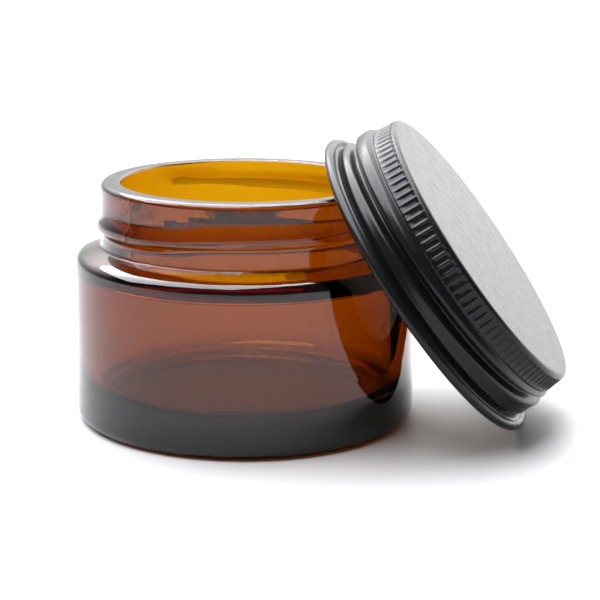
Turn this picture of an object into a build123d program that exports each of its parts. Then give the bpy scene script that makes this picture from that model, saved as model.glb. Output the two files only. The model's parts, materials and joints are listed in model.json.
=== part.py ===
from build123d import *
import math
import os

# Amber glass cream jar with its screw lid taken off and leaning on the neck.
# Millimetres. The origin is the centre of the jar's base, +Z is up along the jar's axis.

# Jar
body_radius = 30.0
jar_height = 42.4
heel_radius = 2.2
heel_band_radius = 30.2
heel_band_top_z = 6.0
heel_blend_radius = 8.0
wall_foot_z = 12.0
neck_radius = 25.45
mouth_radius = 21.9
lip_outer_radius = 1.0
lip_inner_radius = 0.5
neck_foot_z = 31.2
shoulder_slope_deg = 20.0
shoulder_radius = 1.85
neck_foot_radius = 0.7
wall = 3.8
base_thickness = 5.4
cavity_corner_radius = 3.6
bore_foot_z = 27.9
bore_foot_radius = 1.5
cavity_top_radius = 1.0

# Thread, shared by the neck and the lid: one start, right-handed
pitch = 5.5
neck_thread_height = 1.1
neck_thread_foot = 2.6
neck_thread_crest = 1.2
neck_thread_turns = 1.0
neck_thread_start_z = 34.8
neck_thread_start_deg = 135.0
thread_sink = 0.6

# Lid, drawn with its rim plane on z = 0 and its top up
sheet = 0.3
curl_tube_radius = 0.85
curl_ring_radius = 29.39
skirt_radius = 28.1
foot_z = 0.7
foot_lap = 0.2
curl_groove_radius = 27.8
curl_groove_z = 1.8
bead_foot_z = 2.4
bulge_top_z = 7.9
knurl_radius = 27.2
knurl_foot_z = 8.5
knurl_top_z = 11.6
knurl_depth = 0.18
knurl_ribs = 110
lid_top_radius = 26.75
lid_edge_radius = 1.0
inner_edge_radius = 0.3
lid_height = 12.7
lid_thread_radius = 26.4
lid_thread_crest = 0.6
lid_thread_mouth = 2.0
lid_thread_start_z = 3.0
lid_thread_turns = 0.86
lid_thread_start_deg = 0.0

# Liner, a disc of foam between two films
liner_radius = 26.0
liner_gap = 0.05
film_thickness = 0.1
foam_thickness = 1.5

# How the lid leans: the direction of its axis, and the centre of its curl
lean_azimuth_deg = -7.29
lean_elevation_deg = 35.75
lean_x = 32.35
lean_y = -2.62

parts_folder = "parts"


def revolved(points, radii):
    """A closed outline of (radius, height) corners, each rounded, turned about Z."""
    corners = [(r, 0, z) for r, z in points]
    outline = FilletPolyline(*corners, radius=radii, close=True)
    return revolve(make_face(outline), Axis.Z, 360)


def helical_bar(section, radius, start_z, turns, start_deg):
    """A section of (radius, height) corners swept up a right-handed helix about Z."""
    path = Helix(pitch=pitch, height=pitch * turns, radius=radius)
    corners = [(r, 0, z) for r, z in section]
    face = make_face(Polyline(*corners, close=True))
    bar = sweep(face, path=path, is_frenet=True)
    return Pos(0, 0, start_z) * Rot(0, 0, start_deg) * bar


def jar_blank():
    """The jar without its thread: a thick base, straight wall with a heel band, shoulder and neck."""
    slope = math.tan(math.radians(shoulder_slope_deg))
    shoulder_z = neck_foot_z - (body_radius - neck_radius) * slope
    cavity_radius = body_radius - wall
    cavity_top_z = bore_foot_z - (cavity_radius - mouth_radius) * slope
    points = [
        (0, 0),
        (heel_band_radius, 0),
        (heel_band_radius, heel_band_top_z),
        (body_radius, wall_foot_z),
        (body_radius, shoulder_z),
        (neck_radius, neck_foot_z),
        (neck_radius, jar_height),
        (mouth_radius, jar_height),
        (mouth_radius, bore_foot_z),
        (cavity_radius, cavity_top_z),
        (cavity_radius, base_thickness),
        (0, base_thickness),
    ]
    radii = [
        0,
        heel_radius,
        heel_blend_radius,
        heel_blend_radius,
        shoulder_radius,
        neck_foot_radius,
        lip_outer_radius,
        lip_inner_radius,
        bore_foot_radius,
        cavity_top_radius,
        cavity_corner_radius,
        0,
    ]
    return revolved(points, radii)


def neck_thread():
    """The raised glass thread, sunk a little into the neck so that the two are one piece."""
    foot = neck_radius - thread_sink
    crest = neck_radius + neck_thread_height
    half_foot = neck_thread_foot / 2
    half_crest = neck_thread_crest / 2
    section = [
        (foot, -half_foot),
        (neck_radius, -half_foot),
        (crest, -half_crest),
        (crest, half_crest),
        (neck_radius, half_foot),
        (foot, half_foot),
    ]
    return helical_bar(
        section, neck_radius, neck_thread_start_z, neck_thread_turns, neck_thread_start_deg
    )


def glass_jar():
    return jar_blank() + neck_thread()


def lid_skirt_and_top():
    """The drawn metal cup: flared foot, grooved skirt, knurled band and flat top."""
    inner_skirt = skirt_radius - sheet
    inner_groove = curl_groove_radius - sheet
    inner_knurl_foot = knurl_radius - sheet - knurl_depth
    inner_knurl_top = lid_top_radius - sheet - knurl_depth
    foot_radius = curl_ring_radius - curl_tube_radius + foot_lap
    points = [
        (inner_groove, curl_groove_z),
        (foot_radius, foot_z),
        (curl_ring_radius, foot_z),
        (curl_ring_radius, foot_z + foot_lap),
        (curl_groove_radius, curl_groove_z),
        (skirt_radius, bead_foot_z),
        (skirt_radius, bulge_top_z),
        (knurl_radius, knurl_foot_z),
        (lid_top_radius, lid_height),
        (0, lid_height),
        (0, lid_height - sheet),
        (inner_knurl_top, lid_height - sheet),
        (inner_knurl_foot, knurl_foot_z),
        (inner_skirt, bulge_top_z - sheet),
        (inner_skirt, bead_foot_z),
    ]
    radii = [0.2, 0, 0, 0, 0.2, 0.4, 0.8, 0.3, lid_edge_radius, 0, 0, inner_edge_radius, 0.3, 0.6, 0.2]
    return revolved(points, radii)


def curl():
    """The rolled rim, a closed bead round the opening."""
    ring = Pos(curl_ring_radius, 0, curl_tube_radius) * Rot(90, 0, 0) * Circle(curl_tube_radius)
    return revolve(ring, Axis.Z, 360)


def knurl_cutter():
    """What is cut away between the ribs of the knurled band."""
    angle = 360 / knurl_ribs
    teeth = []
    for rib in range(knurl_ribs):
        for fraction, radius in ((0.0, knurl_radius), (0.5, knurl_radius - knurl_depth)):
            turn = math.radians((rib + fraction) * angle)
            teeth.append((radius * math.cos(turn), radius * math.sin(turn)))
    ribbed = make_face(Polyline(*teeth, close=True))
    ring = Circle(knurl_radius + 1) - ribbed
    return Pos(0, 0, knurl_foot_z + 0.3) * extrude(ring, knurl_top_z - knurl_foot_z - 0.3)


def lid_thread(outside):
    """The thread rolled into the skirt: the ridge inside, or the groove left outside."""
    crest = lid_thread_radius if outside else lid_thread_radius - sheet
    mouth = skirt_radius + 0.5 if outside else skirt_radius - sheet / 2
    grow = 0 if outside else sheet
    half_crest = lid_thread_crest / 2 + grow
    half_mouth = lid_thread_mouth / 2 + grow
    section = [
        (crest, -half_crest),
        (mouth, -half_mouth),
        (mouth, half_mouth),
        (crest, half_crest),
    ]
    end_wall_deg = math.degrees(2 * sheet / skirt_radius)
    trim_deg = end_wall_deg if outside else 0
    turns = lid_thread_turns - 2 * trim_deg / 360
    start_z = lid_thread_start_z + pitch * trim_deg / 360
    return helical_bar(section, skirt_radius, start_z, turns, lid_thread_start_deg + trim_deg)


def lid_shell():
    cup = lid_skirt_and_top() + curl()
    cup = cup + lid_thread(outside=False)
    cup = cup - lid_thread(outside=True)
    return cup - knurl_cutter()


def disc(radius, thickness, top_z):
    return Pos(0, 0, top_z - thickness / 2) * Cylinder(radius, thickness)


def lid_place():
    """From the lid's own frame, rim on z = 0, to where it leans with its curl on the table."""
    azimuth = math.radians(lean_azimuth_deg)
    elevation = math.radians(lean_elevation_deg)
    axis = Vector(
        math.cos(elevation) * math.cos(azimuth),
        math.cos(elevation) * math.sin(azimuth),
        math.sin(elevation),
    )
    level = Vector(-math.sin(azimuth), math.cos(azimuth), 0)
    curl_centre_z = curl_ring_radius * math.cos(elevation) + curl_tube_radius
    rim_centre = Vector(lean_x, lean_y, curl_centre_z) - axis * curl_tube_radius
    return Location(Plane(origin=rim_centre, x_dir=level, z_dir=axis))


def build():
    liner_top = lid_height - sheet - liner_gap
    foam_top = liner_top - film_thickness
    face_top = foam_top - foam_thickness
    place = lid_place()
    return {
        "glass_jar": glass_jar(),
        "lid_shell": place * lid_shell(),
        "liner_backing_film": place * disc(liner_radius, film_thickness, liner_top),
        "liner_foam_core": place * disc(liner_radius, foam_thickness, foam_top),
        "liner_face_film": place * disc(liner_radius, film_thickness, face_top),
    }


os.makedirs(parts_folder, exist_ok=True)
for name, piece in build().items():
    export_step(piece, os.path.join(parts_folder, name + ".step"))
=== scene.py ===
import json
import math

import bmesh
import bpy
import numpy as np
from mathutils import Matrix, Vector


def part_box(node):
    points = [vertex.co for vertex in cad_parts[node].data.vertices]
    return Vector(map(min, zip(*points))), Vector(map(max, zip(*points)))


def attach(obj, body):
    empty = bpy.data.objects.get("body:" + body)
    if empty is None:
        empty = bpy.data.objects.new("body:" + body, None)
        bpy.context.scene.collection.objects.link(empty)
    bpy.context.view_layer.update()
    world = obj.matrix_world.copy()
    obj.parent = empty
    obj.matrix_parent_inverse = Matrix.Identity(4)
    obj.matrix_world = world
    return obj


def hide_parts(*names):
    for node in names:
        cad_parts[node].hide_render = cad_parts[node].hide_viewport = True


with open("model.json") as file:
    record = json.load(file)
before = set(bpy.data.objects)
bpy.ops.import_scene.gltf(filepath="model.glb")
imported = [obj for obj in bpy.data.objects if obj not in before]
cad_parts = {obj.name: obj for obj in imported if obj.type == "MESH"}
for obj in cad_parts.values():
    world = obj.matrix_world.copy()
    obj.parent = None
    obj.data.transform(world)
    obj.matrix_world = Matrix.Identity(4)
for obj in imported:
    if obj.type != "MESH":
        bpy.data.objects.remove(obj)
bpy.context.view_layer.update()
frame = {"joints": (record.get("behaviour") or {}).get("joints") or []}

MM = 0.001
JOINTS = {joint["name"]: joint for joint in frame["joints"]}
JAR_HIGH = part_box("glass_jar")[1]

# Jar, in millimetres. The push-up under it and the dish in its cavity's floor are not in the CAD.
HEEL_BAND_RADIUS = JAR_HIGH.x / MM
HEEL_BAND_RISE = 0.2
BODY_RADIUS = HEEL_BAND_RADIUS - HEEL_BAND_RISE
JAR_HEIGHT = JAR_HIGH.z / MM
HEEL_RADIUS = 2.2
BEARING_RADIUS = 25.0
BEARING_EDGE = 1.5
PUSH_UP = 0.7
PUSH_UP_EDGE = 6.0
NECK_RADIUS = 25.45
MOUTH_RADIUS = 21.9
LIP_OUTER_RADIUS = 1.0
LIP_INNER_RADIUS = 0.55
NECK_FOOT_Z = 31.2
SHOULDER_SLOPE = math.tan(math.radians(20.0))
SHOULDER_RADIUS = 1.85
NECK_FOOT_RADIUS = 0.7
HEEL_BAND_TOP_Z = 6.0
HEEL_BLEND_RADIUS = 8.0
WALL_FOOT_Z = 12.0
WALL = 3.8
BASE_THICKNESS = 5.4
BASE_DISH = 0.3
CAVITY_CORNER = 3.6
BORE_FOOT_Z = 27.9
BORE_FOOT_RADIUS = 1.5
CAVITY_TOP_RADIUS = 1.0

# How finely the jar is meshed: around, and along its neck, its bore and the rest
JAR_SEGMENTS = 480
NECK_STEP = 0.17
BORE_STEP = 0.4
WALL_STEP = 1.2

# Thread on the neck, above a plain band. It starts a little lower than the one in the CAD.
THREAD_CLEAR = 1.5
PITCH = 5.5
THREAD_HEIGHT = 1.1
THREAD_HALF_WIDTH = 1.3
THREAD_START_Z = 34.05
THREAD_START_DEG = 127.0
THREAD_TURNS = 1.045
THREAD_RUN_OUT_DEG = 27.0
THREAD_CREST = 0.48

# Mould seams, on opposite sides
SEAM_DEG = -135.6
SEAM_HEIGHT = 0.1
SEAM_WIDTH_DEG = 0.45

# Crinkled patch inside the bore
CRINKLE_DEG = -110.0
CRINKLE_WIDTH_DEG = 14.0
CRINKLE_Z = 37.6
CRINKLE_HEIGHT = 1.4
CRINKLE_DEPTH = 0.07

# Lid, in millimetres, with heights from its rim plane
LID_HEIGHT = 12.7
SHEET = 0.3
CURL_TUBE = 0.85
CURL_RING = 29.38
SKIRT_RADIUS = 28.1
GROOVE_RADIUS = 27.85
KNURL_RADIUS = 27.2
KNURL_FOOT = 8.5
KNURL_TOP = 11.7
KNURL_DEPTH = 0.26
KNURL_RIBS = 110
RIB_STEPS = 8
RIB_SHARPNESS = 5
LID_TOP_RADIUS = 26.75
LID_EDGE = 1.0
SKIRT_TOP = 7.6
CURL_STEPS = 18
CURL_START_DEG = 152
CURL_SWEEP_DEG = 312
LID_THREAD_START = 3.0
LID_THREAD_TURNS = 0.86
LID_THREAD_DEPTH = 1.6
LID_THREAD_HALF_WIDTH = 1.15
LID_THREAD_RUN_OUT_DEG = 10.0

# Studio: glow is brightness, where 1 shows as white; azimuth 0 is behind the jar and 90 on its left.
# The backdrop's foot goes from LEFT_GLOW to RIGHT_GLOW, and all of it brightens upwards. Each pair
# holds the cosines between which one glow turns into the next.
SEEN_GLOW = 1.2
FRONT_GLOW = 0.08
LEFT_GLOW = 1.15
RIGHT_GLOW = 2.6
BACKDROP_TOP_GLOW = 4.5
LEFT_TO_RIGHT = (-0.1, 0.4)
FOOT_TO_TOP = (0.15, 0.6)
FRONT_TO_BACK = (0.0, 0.9)
SOFT_BOX_AZIMUTH = 60.0
SOFT_BOX_ELEVATION = 69.0
SOFT_BOX_HALF_ANGLE = 36.0
SOFT_BOX_DISTANCE = 2.0
SOFT_BOX_GLOW = 9.4
SOFT_BOX_COLOUR = (0.96, 0.99, 1.04)
SOFT_BOX_AIM = (0, 0, 0.02)

# Floor, in metres
FLOOR_HALF = 3.0
FLOOR_COLOUR = (0.4, 0.397, 0.39, 1)

# Camera, in metres and radians: positive yaw turns it to its right, and PITCH_DOWN tips it down
SENSOR_MM = 36.0
LENS_MM = 107.88
SHIFT_Y = -0.0072
CAMERA_PLACE = (0.01988, -0.31288, 0.09541)
YAW, PITCH_DOWN, ROLL = -0.0322, 0.232, 0.0053

# Liner, in millimetres
LINER_RADIUS = 26.0
LINER_GAP = 0.05
FILM = 0.1
FOAM = 1.5
LINER_DENT = 0.22
LINER_SEGMENTS = 160

# Looks
GLASS_IOR = 1.52
AMBER = (0.865, 0.742, 0.0, 1)
AMBER_DENSITY = 1800.0
COAT_IOR = 1.34


def smooth(low, high, value):
    """0 below low, 1 above high, and an easy curve between."""
    t = np.clip((value - low) / (high - low), 0.0, 1.0)
    return t * t * (3 - 2 * t)


def rounded(corners, step):
    """Points along (r, z, radius) corners, each corner an arc, no further apart than step allows."""
    points = []
    count = len(corners)
    for i, (r, z, radius) in enumerate(corners):
        here = np.array((r, z), float)
        if radius == 0 or i in (0, count - 1):
            points.append(here)
            continue
        before = np.array(corners[i - 1][:2], float) - here
        after = np.array(corners[i + 1][:2], float) - here
        before /= np.linalg.norm(before)
        after /= np.linalg.norm(after)
        half = math.acos(np.clip(before @ after, -1, 1)) / 2
        reach = radius / math.tan(half)
        middle = before + after
        centre = here + middle / np.linalg.norm(middle) * radius / math.sin(half)
        start, end = here + before * reach, here + after * reach
        a0 = math.atan2(*(start - centre)[::-1])
        turn = math.atan2(*(end - centre)[::-1]) - a0
        turn = (turn + math.pi) % (2 * math.pi) - math.pi
        arcs = max(3, int(round(abs(turn) / math.radians(11))))
        for k in range(arcs + 1):
            a = a0 + turn * k / arcs
            points.append(centre + radius * np.array((math.cos(a), math.sin(a))))
    dense = [points[0]]
    for p in points[1:]:
        gap = np.linalg.norm(p - dense[-1])
        if gap < 1e-6:
            continue
        last = dense[-1]
        pieces = max(1, int(math.ceil(gap / step(last, p))))
        dense += [last + (p - last) * k / pieces for k in range(1, pieces + 1)]
    return np.array(dense)


def lathe(name, outline, segments, shape=None, start=0.0):
    """A closed surface turned about Z from an outline in millimetres that starts and ends on the axis."""
    angle = start + np.arange(segments) * 2 * math.pi / segments
    inner = outline[1:-1]
    r = np.repeat(inner[:, :1], segments, 1)
    z = np.repeat(inner[:, 1:], segments, 1)
    if shape is not None:
        r, z = shape(np.broadcast_to(angle, r.shape), r, z)
    grid = np.stack([r * np.cos(angle), r * np.sin(angle), z], -1).reshape(-1, 3)
    poles = np.array([(0, 0, outline[0][1]), (0, 0, outline[-1][1])])
    places = np.vstack([grid, poles]) * MM
    rows = len(inner)
    first, last = len(grid), len(grid) + 1
    index = np.arange(rows * segments).reshape(rows, segments)
    beside = np.roll(index, -1, 1)
    faces = np.stack([index[:-1], beside[:-1], beside[1:], index[1:]], -1).reshape(-1, 4).tolist()
    faces += [(first, int(b), int(a)) for a, b in zip(index[0], beside[0])]
    faces += [(last, int(a), int(b)) for a, b in zip(index[-1], beside[-1])]
    mesh = bpy.data.meshes.new(name)
    mesh.from_pydata(places.tolist(), [], faces)
    solid = bmesh.new()
    solid.from_mesh(mesh)
    bmesh.ops.recalc_face_normals(solid, faces=solid.faces)
    if solid.calc_volume(signed=True) < 0:
        bmesh.ops.reverse_faces(solid, faces=solid.faces)
    solid.to_mesh(mesh)
    solid.free()
    mesh.polygons.foreach_set("use_smooth", [True] * len(mesh.polygons))
    piece = bpy.data.objects.new(name, mesh)
    bpy.context.scene.collection.objects.link(piece)
    return piece


# Jar

def jar_outline():
    """From the middle of the base out, up the outside, over the lip and down the inside."""
    shoulder_z = NECK_FOOT_Z - (BODY_RADIUS - NECK_RADIUS) * SHOULDER_SLOPE
    cavity = BODY_RADIUS - WALL
    cavity_top = BORE_FOOT_Z - (cavity - MOUTH_RADIUS) * SHOULDER_SLOPE
    corners = [
        (0, PUSH_UP, 0),
        (BEARING_RADIUS - 4.0, PUSH_UP * 0.7, PUSH_UP_EDGE),
        (BEARING_RADIUS, 0, BEARING_EDGE),
        (HEEL_BAND_RADIUS, 0, HEEL_RADIUS),
        (HEEL_BAND_RADIUS, HEEL_BAND_TOP_Z, HEEL_BLEND_RADIUS),
        (BODY_RADIUS, WALL_FOOT_Z, HEEL_BLEND_RADIUS),
        (BODY_RADIUS, shoulder_z, SHOULDER_RADIUS),
        (NECK_RADIUS, NECK_FOOT_Z, NECK_FOOT_RADIUS),
        (NECK_RADIUS, JAR_HEIGHT, LIP_OUTER_RADIUS),
        (MOUTH_RADIUS, JAR_HEIGHT, LIP_INNER_RADIUS),
        (MOUTH_RADIUS, BORE_FOOT_Z, BORE_FOOT_RADIUS),
        (cavity, cavity_top, CAVITY_TOP_RADIUS),
        (cavity, BASE_THICKNESS, CAVITY_CORNER),
        (0, BASE_THICKNESS - BASE_DISH, 0),
    ]

    def step(a, b):
        low = min(a[1], b[1])
        if min(a[0], b[0]) > NECK_RADIUS - 0.01 and low > NECK_FOOT_Z + THREAD_CLEAR:
            return NECK_STEP
        if max(a[0], b[0]) < MOUTH_RADIUS + 0.01 and low > BORE_FOOT_Z:
            return BORE_STEP
        return WALL_STEP

    return rounded(corners, step)


def around(angle, centre):
    """Angle away from centre, from -180 to 180 degrees."""
    return (np.degrees(angle) - centre + 180) % 360 - 180


def winding(turned, z, start_z, turns, run_out_deg, half_width, section):
    """A thread's height from 0 to 1, by the degrees turned since its start and the height z."""
    length = 360 * turns
    height = np.zeros_like(z)
    for whole in (-360, 0, 360):
        along = turned + whole
        centre = start_z + PITCH * along / 360
        fade = smooth(0, run_out_deg, along) * smooth(0, run_out_deg, length - along)
        across = np.clip(np.abs(z - centre) / half_width, 0, 1)
        height = np.maximum(height, fade * section(across))
    return height


def neck_thread_section(across):
    return 1 - smooth(THREAD_CREST, 1.0, across)


def lid_thread_section(across):
    return 0.5 + 0.5 * np.cos(math.pi * across)


def crinkle(angle, z):
    """Small ripples that fade out round one patch of the bore."""
    ripple = np.sin(angle * 53 + 3 * np.sin(z * 2.1)) * np.sin(z * 3.6 + 2 * np.sin(angle * 29))
    sideways = np.exp(-((around(angle, CRINKLE_DEG) / CRINKLE_WIDTH_DEG) ** 2))
    patch = sideways * np.exp(-(((z - CRINKLE_Z) / CRINKLE_HEIGHT) ** 2))
    return ripple * patch * CRINKLE_DEPTH


def jar_shape(angle, r, z):
    """The thread, the mould seams, and the crinkled patch in the bore."""
    turned = (np.degrees(angle) - THREAD_START_DEG) % 360
    outside = (r > NECK_RADIUS - 0.02) & (z > NECK_FOOT_Z + THREAD_CLEAR)
    rise = winding(
        turned, z, THREAD_START_Z, THREAD_TURNS, THREAD_RUN_OUT_DEG, THREAD_HALF_WIDTH, neck_thread_section
    )
    r = r + np.where(outside, rise * THREAD_HEIGHT, 0)
    seam = np.zeros_like(r)
    for side in (SEAM_DEG, SEAM_DEG + 180):
        seam += np.exp(-((around(angle, side) / SEAM_WIDTH_DEG) ** 2))
    r = r + np.where(outside, seam * SEAM_HEIGHT, 0)
    bore = (r < MOUTH_RADIUS + 0.01) & (z > BORE_FOOT_Z + 1.0) & (z < JAR_HEIGHT - 1)
    r = r + np.where(bore, crinkle(angle, z), 0)
    return r, z


def make_jar():
    jar = lathe("jar_glass", jar_outline(), JAR_SEGMENTS, jar_shape, math.radians(SEAM_DEG))
    jar.data.materials.append(amber_glass())
    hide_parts("glass_jar")
    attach(jar, "jar")


# Lid

def lid_outline():
    """From the top's centre down the outside, round the rolled curl and back up the inside."""
    nook = GROOVE_RADIUS + 0.15
    inner_skirt = SKIRT_RADIUS - SHEET
    inner_knurl = KNURL_RADIUS - SHEET - KNURL_DEPTH
    inner_top = LID_TOP_RADIUS - SHEET - KNURL_DEPTH
    above = [
        (0, LID_HEIGHT - 0.02, 0),
        (LID_TOP_RADIUS - 2.2, LID_HEIGHT, 0),
        (LID_TOP_RADIUS, LID_HEIGHT, LID_EDGE),
        (KNURL_RADIUS, KNURL_FOOT + 0.2, 0.4),
        (KNURL_RADIUS - 0.15, KNURL_FOOT - 0.15, 0.15),
        (SKIRT_RADIUS, SKIRT_TOP, 0.9),
        (SKIRT_RADIUS + 0.08, 6.6, 2.0),
        (SKIRT_RADIUS, 3.4, 1.0),
        (SKIRT_RADIUS + 0.05, 2.9, 0.6),
        (GROOVE_RADIUS, 2.0, 0.3),
        (GROOVE_RADIUS, 1.45, 0),
        (nook, 1.3, 0),
    ]
    tube = []
    for k in range(CURL_STEPS + 1):
        a = math.radians(CURL_START_DEG - CURL_SWEEP_DEG * k / CURL_STEPS)
        tube.append((CURL_RING + CURL_TUBE * math.cos(a), CURL_TUBE + CURL_TUBE * math.sin(a)))
    below = [
        (CURL_RING - CURL_TUBE + 0.05, 0.62, 0),
        (inner_skirt - 0.25, 1.9, 0.5),
        (inner_skirt, 2.6, 0.4),
        (inner_skirt, SKIRT_TOP, 0.6),
        (inner_knurl, KNURL_FOOT, 0.4),
        (inner_top, LID_HEIGHT - SHEET, 0.35),
        (0, LID_HEIGHT - SHEET, 0),
    ]

    def step(a, b):
        z = max(a[1], b[1])
        r = min(a[0], b[0])
        if r < LID_TOP_RADIUS - 2.5:
            return 7.0
        if 1.9 < z < 8.0:
            return 0.24
        return 0.36

    outer = rounded(above, step)
    inner = rounded(below, step)
    return np.vstack([outer, np.array(tube), inner[1:]])


def lid_shape(angle, r, z):
    """The ribs of the knurled band, and the thread rolled into the skirt."""
    phase = 0.5 + 0.5 * np.cos(angle * KNURL_RIBS)
    valley = 1 - phase ** RIB_SHARPNESS
    band = smooth(KNURL_FOOT, KNURL_FOOT + 1.2, z) * (1 - smooth(KNURL_TOP - 0.1, KNURL_TOP + 0.35, z))
    outer_band = r > LID_TOP_RADIUS - 0.15
    r = r - np.where(outer_band, valley * band * KNURL_DEPTH, 0)
    turned = np.degrees(angle) % 360
    groove = winding(
        turned, z, LID_THREAD_START, LID_THREAD_TURNS, LID_THREAD_RUN_OUT_DEG, LID_THREAD_HALF_WIDTH,
        lid_thread_section,
    )
    skirt = (z > 2.0) & (z < KNURL_FOOT - 0.1) & (r > KNURL_RADIUS - 1.0)
    r = r - np.where(skirt, groove * LID_THREAD_DEPTH, 0)
    return r, z


def lid_place():
    """The lid's own frame, rim plane at z = 0 and top up, from the joint that turns it."""
    turn = JOINTS["lid_turn"]
    axis = Vector(turn["axis"]).normalized()
    level = Vector((0, 0, 1)).cross(axis).normalized()
    up = axis.cross(level)
    place = Matrix((level, up, axis)).transposed().to_4x4()
    place.translation = Vector(turn["pos_m"])
    return place


def put_on_lid(piece, body):
    piece.data.transform(lid_place())
    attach(piece, body)


def make_lid():
    lid = lathe("lid_metal", lid_outline(), KNURL_RIBS * RIB_STEPS, lid_shape)
    lid.data.materials.append(black_coat())
    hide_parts("lid_shell")
    put_on_lid(lid, "lid")


def disc_outline(radius, top, thickness, edge, dent_top, dent_low):
    """A disc's outline, with the ring that the jar's lip presses into it."""
    low = top - thickness
    inner, outer = MOUTH_RADIUS - 0.2, NECK_RADIUS - 0.1

    def dent(r, depth):
        return depth * smooth(inner - 0.5, inner + 0.4, r) * (1 - smooth(outer - 0.3, outer + 0.4, r))

    radii = [4, 10, 16, 20.5] + list(np.arange(21.0, radius - edge, 0.22)) + [radius - edge]
    upper = [(r, top + dent(r, dent_top)) for r in radii]
    lower = [(r, low + dent(r, dent_low)) for r in reversed(radii)]
    rim = [(radius, top - edge), (radius, low + edge)]
    return np.array([(0, top)] + upper + rim + lower + [(0, low)])


def make_liner():
    top = LID_HEIGHT - SHEET - LINER_GAP
    foam_top = top - FILM
    face_top = foam_top - FOAM
    film = liner_film()
    layers = [
        ("liner_backing", "liner_backing_film", top, FILM, 0.02, 0, 0, film, "liner_film"),
        ("liner_foam", "liner_foam_core", foam_top, FOAM, 0.25, 0, LINER_DENT, liner_foam(), "liner_foam"),
        ("liner_face", "liner_face_film", face_top, FILM, 0.02, LINER_DENT, LINER_DENT, film, "liner_film"),
    ]
    for name, node, top_z, thickness, edge, dent_top, dent_low, look, slot in layers:
        outline = disc_outline(LINER_RADIUS, top_z, thickness, edge, dent_top, dent_low)
        disc = lathe(name, outline, LINER_SEGMENTS)
        disc.data.materials.append(look)
        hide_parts(node)
        put_on_lid(disc, "liner")


# Materials

def new_material(name):
    material = bpy.data.materials.new(name)
    material.use_nodes = True
    tree = material.node_tree
    return material, tree, tree.nodes["Principled BSDF"]


def noise(tree, scale, detail=2.0, roughness=0.5):
    """Noise over the piece's own coordinates, in metres, with scale in cells per millimetre."""
    place = tree.nodes.new("ShaderNodeTexCoord")
    pattern = tree.nodes.new("ShaderNodeTexNoise")
    pattern.inputs["Scale"].default_value = scale / MM
    pattern.inputs["Detail"].default_value = detail
    pattern.inputs["Roughness"].default_value = roughness
    tree.links.new(place.outputs["Object"], pattern.inputs["Vector"])
    return pattern.outputs["Fac"]


def spread(tree, source, low, high, from_low=0.3, from_high=0.7):
    """From low to high as the source goes from from_low to from_high."""
    ramp = tree.nodes.new("ShaderNodeMapRange")
    ramp.inputs["From Min"].default_value = from_low
    ramp.inputs["From Max"].default_value = from_high
    ramp.inputs["To Min"].default_value = low
    ramp.inputs["To Max"].default_value = high
    tree.links.new(source, ramp.inputs["Value"])
    return ramp.outputs["Result"]


def bump(tree, shader, height, strength, distance):
    node = tree.nodes.new("ShaderNodeBump")
    node.inputs["Strength"].default_value = strength
    node.inputs["Distance"].default_value = distance * MM
    tree.links.new(height, node.inputs["Height"])
    tree.links.new(node.outputs["Normal"], shader.inputs["Normal"])


def amber_glass():
    material, tree, shader = new_material("amber_glass_look")
    shader.inputs["Base Color"].default_value = (1, 1, 1, 1)
    shader.inputs["Transmission Weight"].default_value = 1.0
    shader.inputs["IOR"].default_value = GLASS_IOR
    tree.links.new(spread(tree, noise(tree, 0.35, 4), 0.0, 0.03, 0.45, 0.75), shader.inputs["Roughness"])
    bump(tree, shader, noise(tree, 0.09, 2), 0.25, 0.12)
    absorb = tree.nodes.new("ShaderNodeVolumeAbsorption")
    absorb.inputs["Color"].default_value = AMBER
    absorb.inputs["Density"].default_value = AMBER_DENSITY
    tree.links.new(absorb.outputs["Volume"], tree.nodes["Material Output"].inputs["Volume"])
    return material


def black_coat():
    material, tree, shader = new_material("black_coat_look")
    tint = tree.nodes.new("ShaderNodeMixRGB")
    tint.inputs["Color1"].default_value = (0.003, 0.0031, 0.0034, 1)
    tint.inputs["Color2"].default_value = (0.0065, 0.0068, 0.0072, 1)
    tree.links.new(spread(tree, noise(tree, 2.2, 5), 0, 1), tint.inputs["Fac"])
    tree.links.new(tint.outputs["Color"], shader.inputs["Base Color"])
    tree.links.new(spread(tree, noise(tree, 0.5, 5), 0.24, 0.29), shader.inputs["Roughness"])
    shader.inputs["IOR"].default_value = COAT_IOR
    bump(tree, shader, noise(tree, 7.0, 2, 0.5), 0.06, 0.005)
    return material


def liner_foam():
    material, tree, shader = new_material("foam_look")
    tint = tree.nodes.new("ShaderNodeMixRGB")
    tint.inputs["Color1"].default_value = (0.72, 0.72, 0.69, 1)
    tint.inputs["Color2"].default_value = (0.86, 0.86, 0.84, 1)
    cells = tree.nodes.new("ShaderNodeTexVoronoi")
    cells.inputs["Scale"].default_value = 3.0 / MM
    tree.links.new(spread(tree, cells.outputs["Distance"], 0, 1, 0.1, 0.6), tint.inputs["Fac"])
    tree.links.new(tint.outputs["Color"], shader.inputs["Base Color"])
    shader.inputs["Roughness"].default_value = 0.85
    bump(tree, shader, cells.outputs["Distance"], 0.5, 0.08)
    return material


def liner_film():
    material, tree, shader = new_material("film_look")
    tint = tree.nodes.new("ShaderNodeMixRGB")
    tint.inputs["Color1"].default_value = (0.8, 0.8, 0.78, 1)
    tint.inputs["Color2"].default_value = (0.9, 0.9, 0.89, 1)
    tree.links.new(spread(tree, noise(tree, 0.4, 4), 0, 1), tint.inputs["Fac"])
    tree.links.new(tint.outputs["Color"], shader.inputs["Base Color"])
    tree.links.new(spread(tree, noise(tree, 0.8, 3), 0.25, 0.4), shader.inputs["Roughness"])
    bump(tree, shader, noise(tree, 0.7, 2), 0.2, 0.05)
    return material


# Stage, lights and camera

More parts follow.
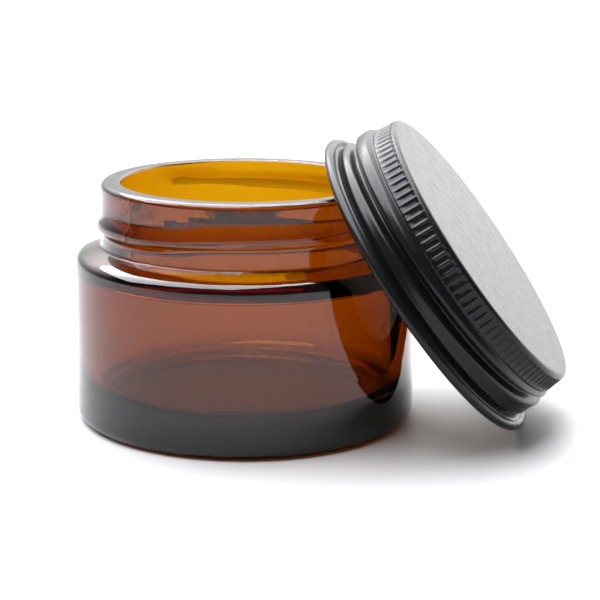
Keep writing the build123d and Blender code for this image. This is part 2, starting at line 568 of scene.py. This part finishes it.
def make_floor():
    mesh = bpy.data.meshes.new("floor")
    corners = [(x * FLOOR_HALF, y * FLOOR_HALF, 0) for x, y in ((-1, -1), (1, -1), (1, 1), (-1, 1))]
    mesh.from_pydata(corners, [], [(0, 1, 2, 3)])
    floor = bpy.data.objects.new("floor", mesh)
    bpy.context.scene.collection.objects.link(floor)
    material, tree, shader = new_material("pale_floor")
    shader.inputs["Base Color"].default_value = FLOOR_COLOUR
    tree.links.new(spread(tree, noise(tree, 0.2, 3), 0.5, 0.6), shader.inputs["Roughness"])
    shader.inputs["Specular IOR Level"].default_value = 0.25
    mesh.materials.append(material)


def facing(tree, direction, way, cosines, from_glow=0.0, to_glow=1.0):
    """A value that goes from from_glow to to_glow as a sky direction turns to face a way."""
    cosine = tree.nodes.new("ShaderNodeVectorMath")
    cosine.operation = "DOT_PRODUCT"
    cosine.inputs[1].default_value = way
    tree.links.new(direction, cosine.inputs[0])
    ramp = tree.nodes.new("ShaderNodeMapRange")
    ramp.interpolation_type = "SMOOTHSTEP"
    ramp.inputs["From Min"].default_value = cosines[0]
    ramp.inputs["From Max"].default_value = cosines[1]
    ramp.inputs["To Min"].default_value = from_glow
    ramp.inputs["To Max"].default_value = to_glow
    tree.links.new(cosine.outputs["Value"], ramp.inputs["Value"])
    return ramp.outputs["Result"]


def blend(tree, factor, first, second):
    """From first to second as the factor goes from 0 to 1; each is a number or a node's output."""
    mix = tree.nodes.new("ShaderNodeMix")
    tree.links.new(factor, mix.inputs["Factor"])
    for socket, value in ((mix.inputs["A"], first), (mix.inputs["B"], second)):
        if isinstance(value, float):
            socket.default_value = value
        else:
            tree.links.new(value, socket)
    return mix.outputs["Result"]


def make_world():
    """A studio that is dark behind the camera and pale at the back, and looks white when seen directly."""
    world = bpy.data.worlds.new("studio")
    world.use_nodes = True
    tree = world.node_tree
    direction = tree.nodes.new("ShaderNodeTexCoord").outputs["Generated"]
    foot = facing(tree, direction, (1, 0, 0), LEFT_TO_RIGHT, LEFT_GLOW, RIGHT_GLOW)
    backdrop = blend(tree, facing(tree, direction, (0, 0, 1), FOOT_TO_TOP), foot, BACKDROP_TOP_GLOW)
    room = blend(tree, facing(tree, direction, (0, 1, 0), FRONT_TO_BACK), FRONT_GLOW, backdrop)
    seen = tree.nodes.new("ShaderNodeLightPath").outputs["Is Camera Ray"]
    background = tree.nodes["Background"]
    background.inputs["Color"].default_value = (1.0, 1.0, 1.0, 1)
    tree.links.new(blend(tree, seen, room, SEEN_GLOW), background.inputs["Strength"])
    bpy.context.scene.world = world


def make_soft_box():
    """One very large soft box overhead, to the left and a little behind."""
    azimuth, elevation = math.radians(SOFT_BOX_AZIMUTH), math.radians(SOFT_BOX_ELEVATION)
    way = Vector((
        -math.sin(azimuth) * math.cos(elevation),
        math.cos(azimuth) * math.cos(elevation),
        math.sin(elevation),
    ))
    aim = Vector(SOFT_BOX_AIM)
    place = aim + way * SOFT_BOX_DISTANCE
    size = 2 * SOFT_BOX_DISTANCE * math.tan(math.radians(SOFT_BOX_HALF_ANGLE))
    data = bpy.data.lights.new("soft_box", "AREA")
    data.shape = "RECTANGLE"
    data.size = size
    data.size_y = size
    data.energy = SOFT_BOX_GLOW * math.pi * size * size
    data.color = SOFT_BOX_COLOUR
    lamp = bpy.data.objects.new("soft_box", data)
    lamp.location = place
    lamp.rotation_euler = (aim - place).to_track_quat("-Z", "Y").to_euler()
    bpy.context.scene.collection.objects.link(lamp)


def make_camera():
    data = bpy.data.cameras.new("camera")
    data.sensor_width = SENSOR_MM
    data.lens = LENS_MM
    data.shift_y = SHIFT_Y
    data.clip_start, data.clip_end = 0.01, 20.0
    camera = bpy.data.objects.new("camera", data)
    ahead = math.cos(PITCH_DOWN)
    forward = Vector((math.sin(YAW) * ahead, math.cos(YAW) * ahead, -math.sin(PITCH_DOWN)))
    level = Vector((math.cos(YAW), -math.sin(YAW), 0))
    up = level.cross(forward)
    right = level * math.cos(ROLL) + up * math.sin(ROLL)
    above = up * math.cos(ROLL) - level * math.sin(ROLL)
    turn = Matrix((right, above, -forward)).transposed()
    camera.matrix_world = Matrix.Translation(CAMERA_PLACE) @ turn.to_4x4()
    bpy.context.scene.collection.objects.link(camera)
    bpy.context.scene.camera = camera


make_camera()
make_floor()
make_world()
make_soft_box()
make_jar()
make_lid()
make_liner()
bpy.context.scene.view_settings.view_transform = "Standard"
